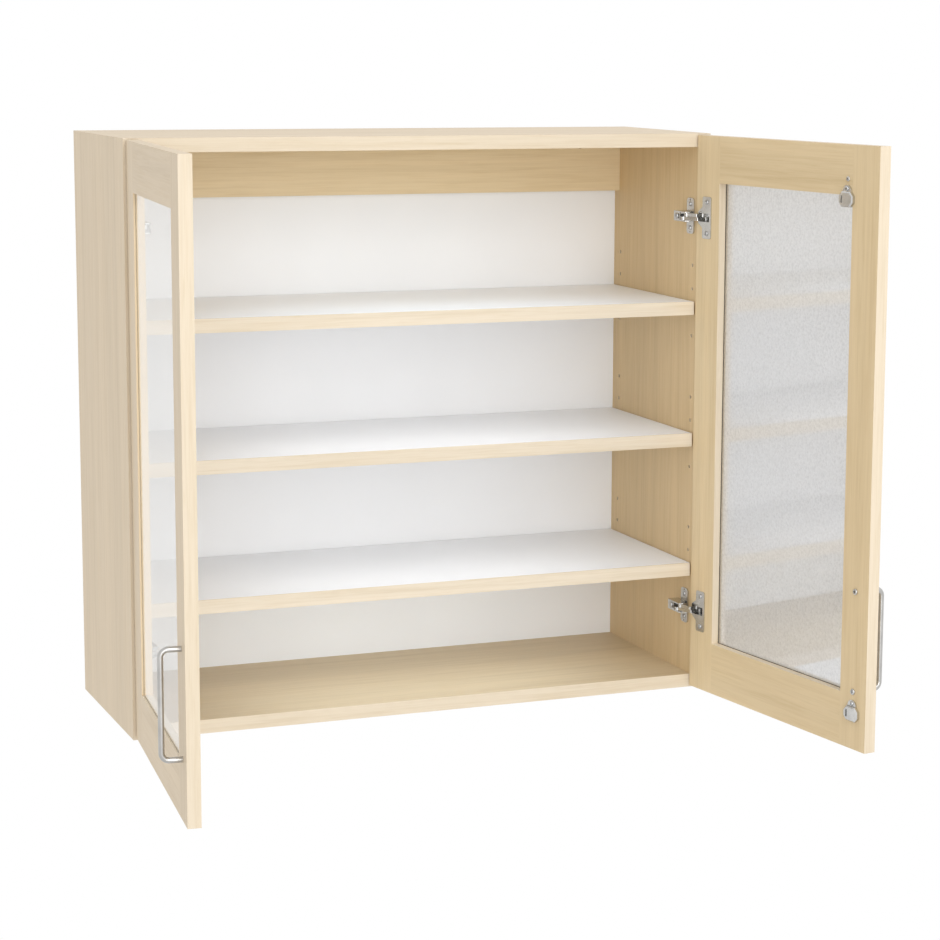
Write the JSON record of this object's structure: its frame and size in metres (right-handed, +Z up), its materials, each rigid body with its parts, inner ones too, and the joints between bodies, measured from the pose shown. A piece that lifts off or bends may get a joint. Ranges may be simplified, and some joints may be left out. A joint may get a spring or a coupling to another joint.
{
  "type": "glass door wall cabinet",
  "caption": "Wall-hung kitchen cabinet in light wood board with shelves and framed glass doors that swing on concealed two-link hinges",
  "frame": {"origin": "middle of the line between the two wall screws, on the rear face that lies on the wall", "axes": "+X to the right seen from the front, +Y into the wall, +Z up; the doors are on the -Y side"},
  "size_m": [0.9313, 0.6787, 0.76],
  "materials": {
    "wood_board": "light maple-look board, satin",
    "white_board": "white faced board, satin",
    "dowel_wood": "raw beech",
    "steel": "zinc plated steel",
    "hinge_steel": "nickel plated pressed steel",
    "door_wood": "light maple, satin lacquer",
    "glass_pane": "fine textured glass",
    "gasket": "matt black seal",
    "handle_steel": "satin nickel rod"
  },
  "bodies": {
    "carcass": {"left_side_panel": "wood_board", "right_side_panel": "wood_board", "top_panel": "wood_board", "bottom_panel": "wood_board", "hanging_rail": "wood_board", "lower_shelf_edge": "wood_board", "middle_shelf_edge": "wood_board", "upper_shelf_edge": "wood_board", "back_panel": "white_board", "lower_shelf": "white_board", "middle_shelf": "white_board", "upper_shelf": "white_board", "carcass_dowels": "dowel_wood", "shelf_pins": "steel", "hinge_screws": "steel", "left_lower_hinge_plate": "hinge_steel", "left_lower_hinge_arm": "hinge_steel", "left_upper_hinge_plate": "hinge_steel", "left_upper_hinge_arm": "hinge_steel", "right_lower_hinge_plate": "hinge_steel", "right_lower_hinge_arm": "hinge_steel", "right_upper_hinge_plate": "hinge_steel", "right_upper_hinge_arm": "hinge_steel"},
    "left_outer_links": {"left_lower_outer_link": "hinge_steel", "left_upper_outer_link": "hinge_steel"},
    "left_door": {"left_lower_hinge_cup": "hinge_steel", "left_upper_hinge_cup": "hinge_steel", "left_hinge_stile": "door_wood", "left_handle_stile": "door_wood", "left_top_rail": "door_wood", "left_bottom_rail": "door_wood", "left_glass": "glass_pane", "left_gasket": "gasket", "left_handle": "handle_steel", "left_handle_screws": "steel", "left_door_screws": "steel", "left_top_catch": "hinge_steel", "left_bottom_catch": "hinge_steel"},
    "left_inner_links": {"left_lower_inner_link": "hinge_steel", "left_upper_inner_link": "hinge_steel"},
    "right_outer_links": {"right_lower_outer_link": "hinge_steel", "right_upper_outer_link": "hinge_steel"},
    "right_door": {"right_lower_hinge_cup": "hinge_steel", "right_upper_hinge_cup": "hinge_steel", "right_hinge_stile": "door_wood", "right_handle_stile": "door_wood", "right_top_rail": "door_wood", "right_bottom_rail": "door_wood", "right_glass": "glass_pane", "right_gasket": "gasket", "right_handle": "handle_steel", "right_handle_screws": "steel", "right_door_screws": "steel", "right_top_catch": "hinge_steel", "right_bottom_catch": "hinge_steel"},
    "right_inner_links": {"right_lower_inner_link": "hinge_steel", "right_upper_inner_link": "hinge_steel"}
  },
  "joints": [
    {"name": "left_link_swing", "type": "hinge", "parent": "carcass", "child": "left_outer_links", "pos_m": [-0.368, -0.2764, -0.353], "axis": [0, 0, -1], "range_deg": [-1.68, 20.56]},
    {"name": "left_door_swing", "type": "hinge", "parent": "left_outer_links", "child": "left_door", "pos_m": [-0.38421, -0.29271, -0.353], "axis": [0, 0, -1], "range_deg": [-115.91, 9.23]},
    {"name": "left_inner_link_swing", "type": "hinge", "parent": "left_door", "child": "left_inner_links", "pos_m": [-0.38923, -0.29264, -0.353], "axis": [0, 0, -1], "range_deg": [-7.74, 96.55]},
    {"name": "right_link_swing", "type": "hinge", "parent": "carcass", "child": "right_outer_links", "pos_m": [0.368, -0.2764, -0.353], "axis": [0, 0, 1], "range_deg": [-1.19, 21.06]},
    {"name": "right_door_swing", "type": "hinge", "parent": "right_outer_links", "child": "right_door", "pos_m": [0.38407, -0.29285, -0.353], "axis": [0, 0, 1], "range_deg": [-118.71, 6.44]},
    {"name": "right_inner_link_swing", "type": "hinge", "parent": "right_door", "child": "right_inner_links", "pos_m": [0.38908, -0.29258, -0.353], "axis": [0, 0, 1], "range_deg": [-5.41, 98.87]}
  ],
  "couplings": [
    {"joint": "left_link_swing", "follows": "left_door_swing", "ratio": -0.17695},
    {"joint": "left_inner_link_swing", "follows": "left_door_swing", "ratio": -0.83251},
    {"joint": "right_link_swing", "follows": "right_door_swing", "ratio": -0.17695},
    {"joint": "right_inner_link_swing", "follows": "right_door_swing", "ratio": -0.83251}
  ]
}
